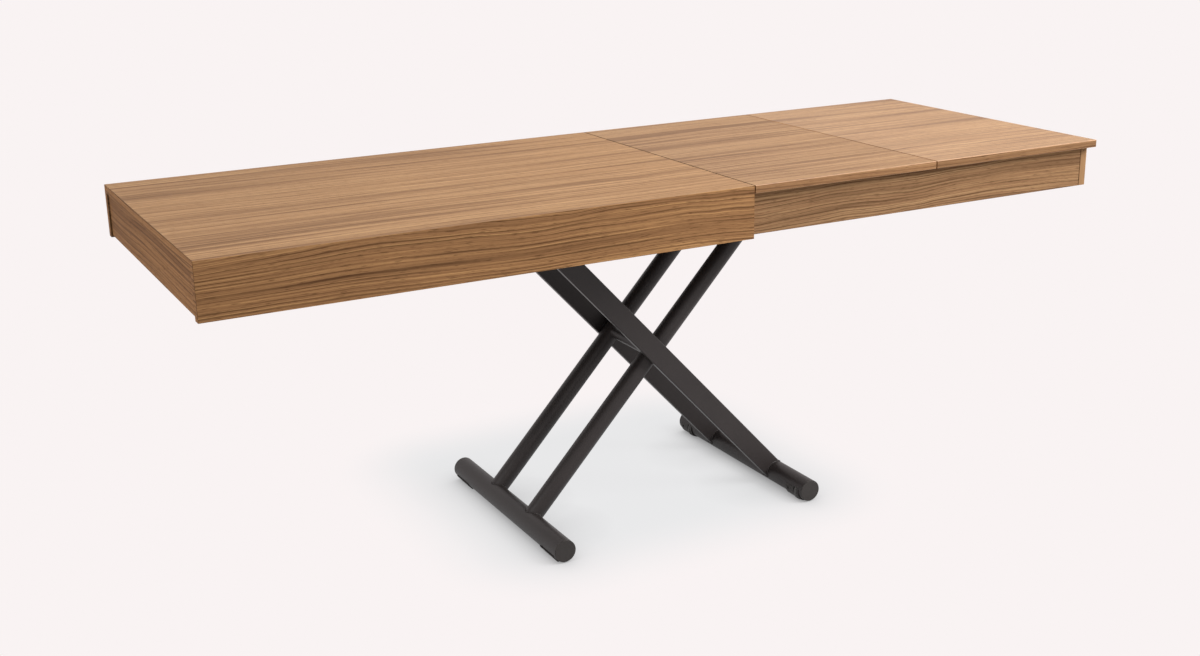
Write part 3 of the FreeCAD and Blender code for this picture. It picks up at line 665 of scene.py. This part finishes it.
# %% Eased sections
tube_ease = 0.0009
angle_ease = 0.0005
block_ease = 0.0012
pad_ease = 0.0010
section_ease = {
    "front_carriage_beam": tube_ease, "rear_carriage_beam": tube_ease, "left_cross_tube": tube_ease,
    "gas_cross_tube": tube_ease, "middle_cross_tube": tube_ease, "right_cross_tube": tube_ease,
    "guide_uprights": angle_ease, "frame_corner_brackets": angle_ease, "top_guide_blocks": block_ease,
    "frame_guide_blocks": block_ease, "leaf_rest_pads": pad_ease, "end_batten": block_ease,
}
for name, ease in section_ease.items():
    shape = merged_copy(name)
    ease_square_edges(shape, ease)
    section = finished_piece(
        name + "_eased", shape, body_of_node[name], [finish_of(name)])
    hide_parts(name)
print("eased sections:", len(section_ease))

# %% [markdown]
# ## Weld beads
# Each leg is cut to a saddle that sits on its round foot, and a bead of weld is run round the joint before
# the steel is coated. The line of the bead is the outer edge of the saddle. It could be worked out from two
# cylinders, but it is read from the leg itself, so it always fits: the faces that lie on the round of the
# foot are found, and the longest loop of edges round them is walked. A curve through that loop with a round
# section, swelling a little at each ripple, is the bead.

# %% The edge of a saddle
seat_tolerance = 5e-5


def longest_loop(edges):
    """The longest closed walk along a set of edges, as points."""
    left_over = list(edges)
    walks = []
    while left_over:
        first = left_over.pop(0)
        walk = list(first.verts)
        onward = first
        while onward is not None:
            onward = next((edge for edge in left_over if walk[-1] in edge.verts), None)
            if onward is not None:
                left_over.remove(onward)
                walk.append(onward.other_vert(walk[-1]))
        walks.append([vert.co.copy() for vert in walk[:-1]])
    return max(walks, key=lambda walk: sum((a - b).length for a, b in zip(walk, walk[1:])))


def saddle_loop(leg, foot):
    """Outer edge of the saddle where a leg sits on its round foot."""
    low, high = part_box(foot)
    middle, radius = (low + high) / 2, (high.z - low.z) / 2
    shape = merged_copy(leg)

    def seated(vert):
        """Whether a corner lies on the round of the foot."""
        away = math.hypot(vert.co.x - middle.x, vert.co.z - middle.z)
        return abs(away - radius) < seat_tolerance

    seat = {face.index for face in shape.faces if all(seated(vert) for vert in face.verts)}
    rim = [edge for edge in shape.edges if sum(face.index in seat for face in edge.link_faces) == 1]
    loop = longest_loop(rim)
    shape.free()
    return loop


saddles = {
    "front_leg_tube": "left_foot_tube", "rear_leg_tube": "left_foot_tube",
    "front_leg_bar": "right_foot_tube", "rear_leg_bar": "right_foot_tube",
}
saddle_loops = {leg: saddle_loop(leg, foot) for leg, foot in saddles.items()}
print("saddle edges:", {leg: len(loop) for leg, loop in saddle_loops.items()})

# %% [markdown]
# ## The bead itself
# A curve object with a bevel is the short way to a round section along any line. It is turned into a mesh
# at once, because a piece of the table has to be a mesh that keeps its place.

# %% Beads round the feet
bead_radius = 0.0017
bead_resolution = 3
bead_steps = 3
bead_ripple = 0.12
ripple_turn = math.pi / 2


def weld_bead(leg, loop):
    """Round bead along a saddle's edge."""
    points = []
    for start, end in zip(loop, loop[1:] + loop[:1]):
        points.extend(start.lerp(end, step / bead_steps) for step in range(bead_steps))
    line = bpy.data.curves.new(leg + "_weld", "CURVE")
    line.dimensions = "3D"
    line.bevel_depth = bead_radius
    line.bevel_resolution = bead_resolution
    spline = line.splines.new("POLY")
    spline.points.add(len(points) - 1)
    spline.use_cyclic_u = True
    for number, (knot, point) in enumerate(zip(spline.points, points)):
        knot.co = (*point, 1.0)
        knot.radius = 1.0 + bead_ripple * math.sin(number * ripple_turn)
    holder = bpy.data.objects.new(leg + "_weld_line", line)
    shape = bmesh.new()
    shape.from_mesh(bpy.data.meshes.new_from_object(holder))
    bpy.data.objects.remove(holder)
    return finished_piece(
        leg + "_weld", shape, body_of_node[leg], [finish_of(leg)], smooth=True)


for leg, loop in saddle_loops.items():
    bead = weld_bead(leg, loop)
    print(bead.name, len(bead.data.polygons), "faces")

# %% [markdown]
# ## Wheels
# The wheels under the right foot are pressed from two parts: a hard centre with a hub and a thin web, and
# a soft tyre moulded round it. Half of the section is drawn once, as a short outline, and spun round the
# pin, which gives hub, web and tyre in one closed skin where stacked rings would leave gaps. The outline
# stays inside the CAD wheel, so that the tyre still touches the floor where it should.

# %% Spun wheels
tyre_depth = 0.0042
tyre_round = 0.0013
shoulder_share = 0.3
hub_radius = 0.0058
bore_radius = 0.0027
web_step = 0.0006
web_share = 0.45
hub_share = 0.85
wheel_turns = 56


def wheel_outline(radius, half):
    """Section of a wheel, as distances from the pin and places along it."""
    rim = radius - tyre_depth
    shoulder = tyre_round * shoulder_share
    side = [
        (bore_radius, half * hub_share), (hub_radius, half * hub_share),
        (hub_radius + web_step, half * web_share), (rim - web_step, half * web_share), (rim, half),
        (radius - tyre_round, half), (radius - shoulder, half - shoulder), (radius, half - tyre_round),
    ]
    return side + [(away, -along) for away, along in reversed(side)]


def spun_wheel(node):
    """Wheel with a hub, a web and a tyre, in place of the plain CAD wheel."""
    low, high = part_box(node)
    middle, radius, half = (low + high) / 2, (high.z - low.z) / 2, (high.y - low.y) / 2
    shape = bmesh.new()
    corners = [shape.verts.new((away, along, 0.0)) for away, along in wheel_outline(radius, half)]
    edges = [shape.edges.new(pair) for pair in zip(corners, corners[1:] + corners[:1])]
    bmesh.ops.spin(
        shape, geom=corners + edges, cent=(0, 0, 0), axis=(0, 1, 0), angle=2 * math.pi, steps=wheel_turns,
        use_merge=True)
    bmesh.ops.recalc_face_normals(shape, faces=shape.faces)
    for face in shape.faces:
        place = face.calc_center_median()
        face.material_index = int(math.hypot(place.x, place.z) < radius - tyre_depth)
    bmesh.ops.translate(shape, verts=shape.verts, vec=middle)
    tyre_and_centre = [finish_of(node), finishes["foot_plastic"]]
    wheel = finished_piece(
        node + "_spun", shape, body_of_node[node], tyre_and_centre, smooth=True)
    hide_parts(node)
    return radius


for name in ("front_wheel", "rear_wheel"):
    print(name, "radius", round(spun_wheel(name), 4))

# %% [markdown]
# ## Screw heads
# The batten is screwed up into the top and the corner brackets are screwed to the frame. A pan head is a
# short cylinder with a rounded rim and a socket sunk in its middle, so it starts as a cone of equal radii,
# its rim is bevelled and its crown inset twice. One head is made in a bmesh of its own and copied to each
# place, turned so that it stands on its face.

# %% One screw head
head_radius = 0.0040
head_height = 0.0022
head_sides = 24
rim_share = 0.45
rim_segments = 3
land_share = 0.30
draft_share = 0.06
socket_share = 0.6


def crown_of(shape):
    """The highest face of a screw head."""
    return max(shape.faces, key=lambda face: face.calc_center_median().z)


def screw_head():
    """Pan head with a round socket, standing on the origin."""
    shape = bmesh.new()
    bmesh.ops.create_cone(
        shape, cap_ends=True, segments=head_sides, radius1=head_radius, radius2=head_radius,
        depth=head_height, matrix=Matrix.Translation((0, 0, head_height / 2)))
    round_edges(shape, list(crown_of(shape).edges), head_height * rim_share, rim_segments)
    crown = crown_of(shape)
    bmesh.ops.inset_individual(shape, faces=[crown], thickness=head_radius * land_share)
    bmesh.ops.inset_individual(
        shape, faces=[crown], thickness=head_radius * draft_share, depth=-head_height * socket_share)
    return mesh_of("screw_head", shape)


def screws(name, body, places):
    """One piece of several screw heads, each at a place and facing a way."""
    head = screw_head()
    shape = bmesh.new()
    for place, facing in places:
        before = len(shape.verts)
        shape.from_mesh(head)
        shape.verts.ensure_lookup_table()
        stand = Matrix.Translation(place) @ Vector(facing).to_track_quat("Z", "Y").to_matrix().to_4x4()
        bmesh.ops.transform(shape, matrix=stand, verts=shape.verts[before:])
    bpy.data.meshes.remove(head)
    return finished_piece(name, shape, body, [finishes["zinc_steel"]], smooth=True)


print("screw head:", head_radius * 2, "across,", head_height, "high")

# %% [markdown]
# ## Where the screws go
# Four screws run along the batten, and each corner bracket has two in either flange. Their places are
# shares of the box round the CAD piece, so they stay on it if the piece changes.

# %% Screws in the batten and the brackets
batten_shares = (0.1, 0.37, 0.63, 0.9)
bracket_gauge = 0.0020
bracket_levels = (0.24, 0.76)
side_flange_share = 0.35
end_flange_share = 0.65

low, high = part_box("end_batten")
span = high - low
batten_places = [((low.x + high.x) / 2, low.y + span.y * share, low.z) for share in batten_shares]
screws("batten_screws", "outer_box", [(place, (0, 0, -1)) for place in batten_places])

low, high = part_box("frame_corner_brackets")
span = high - low
bracket_places = []
for side in (-1, 1):
    for level in bracket_levels:
        z = low.z + span.z * level
        side_place = (low.x + span.x * side_flange_share, side * (high.y - bracket_gauge), z)
        end_place = (high.x - bracket_gauge, side * (high.y - span.x * end_flange_share), z)
        bracket_places.extend([(side_place, (0, -side, 0)), (end_place, (-1, 0, 0))])
screws("bracket_screws", "inner_frame", bracket_places)
print("screws:", len(batten_places), "in the batten,", len(bracket_places), "in the brackets")

# %% [markdown]
# ## Floor
# The table stands on a pale studio floor that runs into a pale background. Round the feet the floor is
# partly a matt surface, so that it shows the soft shadow, and where it is shut in close to a foot it is
# more so, which gives the dark line of contact. Further out it shows the background's own colour to the
# camera and to reflections, which hides the horizon without adding light to the table.

# %% Floor
backdrop_colour = linear((249, 243, 243))
# Near the feet the glow is a neutral grey a little darker than the background: painted shade that gives the
# shadow round the feet its cool grey.
near_colour = linear((243, 243, 244))
floor_colour = linear((176, 177, 178))
base_middle = Vector((0.01, 0.10, 0.0))
base_half = (0.28, 0.24)
shadow_fade = (0.02, 0.30)
shadow_glow = 0.87
contact_reach = 0.14
contact_depth = 0.75
floor_size = 40.0
floor_drop = 0.0004


def seen_directly(tree):
    """One where a camera, glossy or transmitted ray looks, and nothing for the light that bounces."""
    path = add(tree, "LightPath")
    rays = reckon(tree, "ADD", path.outputs["Is Camera Ray"], path.outputs["Is Glossy Ray"])
    return reckon(tree, "MINIMUM", reckon(tree, "ADD", rays, path.outputs["Is Transmission Ray"]), 1.0)


def blend_shaders(tree, share, first, second, output):
    """Show the first shader or the second by a share."""
    blend = add(tree, "MixShader")
    for socket, value in zip(blend.inputs, (share, first.outputs[0], second.outputs[0])):
        feed(tree, socket, value)
    feed(tree, tree.nodes[output].inputs["Surface"], blend.outputs[0])


def away_from_base(tree):
    """Distance on the floor from the rectangle that the feet stand in."""
    centre = add(tree, "Mapping")
    feed(tree, centre.inputs["Vector"], add(tree, "TexCoord").outputs["Object"])
    centre.inputs["Location"].default_value = -base_middle
    axes = add(tree, "SeparateXYZ")
    feed(tree, axes.inputs[0], centre.outputs[0])
    past = []
    for number, half in enumerate(base_half):
        beyond = reckon(tree, "SUBTRACT", reckon(tree, "ABSOLUTE", axes.outputs[number]), half)
        past.append(reckon(tree, "MAXIMUM", beyond, 0.0))
    squares = reckon(tree, "MULTIPLY_ADD", past[0], past[0], reckon(tree, "MULTIPLY", past[1], past[1]))
    return reckon(tree, "SQRT", squares)


def floor_material():
    """Matt floor round the feet that turns into the background further out."""
    material, tree, shader = new_material("studio_floor")
    shader.inputs["Base Color"].default_value = floor_colour
    shader.inputs["Roughness"].default_value = 1.0
    shader.inputs["Specular IOR Level"].default_value = 0.0
    out = soft_step(tree, away_from_base(tree), *shadow_fade)
    glow = add(tree, "Emission")
    feed(tree, glow.inputs["Color"], mixed(tree, out, near_colour, backdrop_colour))
    contact = add(tree, "AmbientOcclusion")
    contact.inputs["Distance"].default_value = contact_reach
    openness = reckon(tree, "MULTIPLY_ADD", contact.outputs["AO"], contact_depth, 1.0 - contact_depth)
    share = reckon(tree, "MULTIPLY_ADD", out, 1.0 - shadow_glow, shadow_glow)
    share = reckon(tree, "MULTIPLY", share, openness)
    share = reckon(tree, "MULTIPLY", share, seen_directly(tree))
    blend_shaders(tree, share, shader, glow, "Material Output")
    return material


ground = bmesh.new()
bmesh.ops.create_grid(ground, x_segments=1, y_segments=1, size=floor_size / 2)
bmesh.ops.translate(ground, verts=ground.verts, vec=(0.0, 0.0, -floor_drop))
floor = scene_object("studio_floor", mesh_of("studio_floor", ground))
floor.data.materials.append(floor_material())
print("floor:", floor_size, "m square")

# %% [markdown]
# ## Background
# The camera and the reflections see pale paper, while the light that falls on the table from all round is
# much weaker. One shader can't do both, so the world has two, and the kind of ray chooses between them.

# %% Background
dome_colour = (1.0, 1.0, 1.0, 1.0)
dome_strength = 0.22
world = bpy.data.worlds.new("studio")
bpy.context.scene.world = world
world.use_nodes = True
sky = world.node_tree
dome = sky.nodes["Background"]
dome.inputs["Color"].default_value = dome_colour
dome.inputs["Strength"].default_value = dome_strength
paper = add(sky, "Background")
paper.inputs["Color"].default_value = backdrop_colour
blend_shaders(sky, seen_directly(sky), dome, paper, "World Output")
print("background:", len(sky.nodes), "nodes")

# %% [markdown]
# ## Studio lamps
# Three soft boxes do the work. The key hangs above the table and evens out the top. The strongest one
# stands high in front on the right: it is large, so the shadow that the leaves throw on the frame is long
# and soft, and the long side falls off to the left. A weak one keeps the left end from going dull. Area
# lamps are used because a small lamp would draw hard shadows that a studio avoids.

# %% Lamps
# Place, aim, width in metres and power in watts
studio_lamps = {
    "key_box": ((0.9, 0.2, 3.2), (0.3, 0.0, 0.7), 2.2, 45.0),
    "fill_box": ((2.6, -2.6, 2.9), (0.1, 0.0, 0.6), 1.8, 163.0),
    "left_box": ((-3.2, -0.4, 1.9), (-0.9, 0.0, 0.6), 1.5, 29.0),
}


def set_up(holder, place, forward, roll=0.0):
    """Stand a lamp or the camera at a place, looking along a line."""
    holder.location = place
    holder.rotation_mode = "QUATERNION"
    holder.rotation_quaternion = forward.to_track_quat("-Z", "Y") @ Quaternion((0.0, 0.0, 1.0), roll)


for name, (place, aim, size, power) in studio_lamps.items():
    lamp = bpy.data.lights.new(name, "AREA")
    lamp.size = size
    lamp.energy = power
    set_up(scene_object(name, lamp), place, Vector(aim) - Vector(place))

# %% [markdown]
# ## Camera
# The view is taken from the left end and a little above the top, with a normal lens. Its place and
# its three angles were worked out from the corners of the table, so they are given as they are.

# %% Camera
camera_place = Vector((-1.5465, -2.7811, 1.3783))
camera_turn = math.radians(28.077)
camera_dip = math.radians(17.278)
camera_roll = math.radians(-0.942)
camera_lens = 45.41
sensor_width = 36.0

camera_data = bpy.data.cameras.new("camera")
camera_data.sensor_width = sensor_width
camera_data.lens = camera_lens
camera = scene_object("camera", camera_data)
forward = Vector((
    math.sin(camera_turn) * math.cos(camera_dip), math.cos(camera_turn) * math.cos(camera_dip),
    -math.sin(camera_dip)))
set_up(camera, camera_place, forward, camera_roll)
bpy.context.scene.camera = camera
bpy.context.scene.view_settings.view_transform = "Standard"
print("camera:", [round(v, 3) for v in camera.location], "lens", camera_lens)
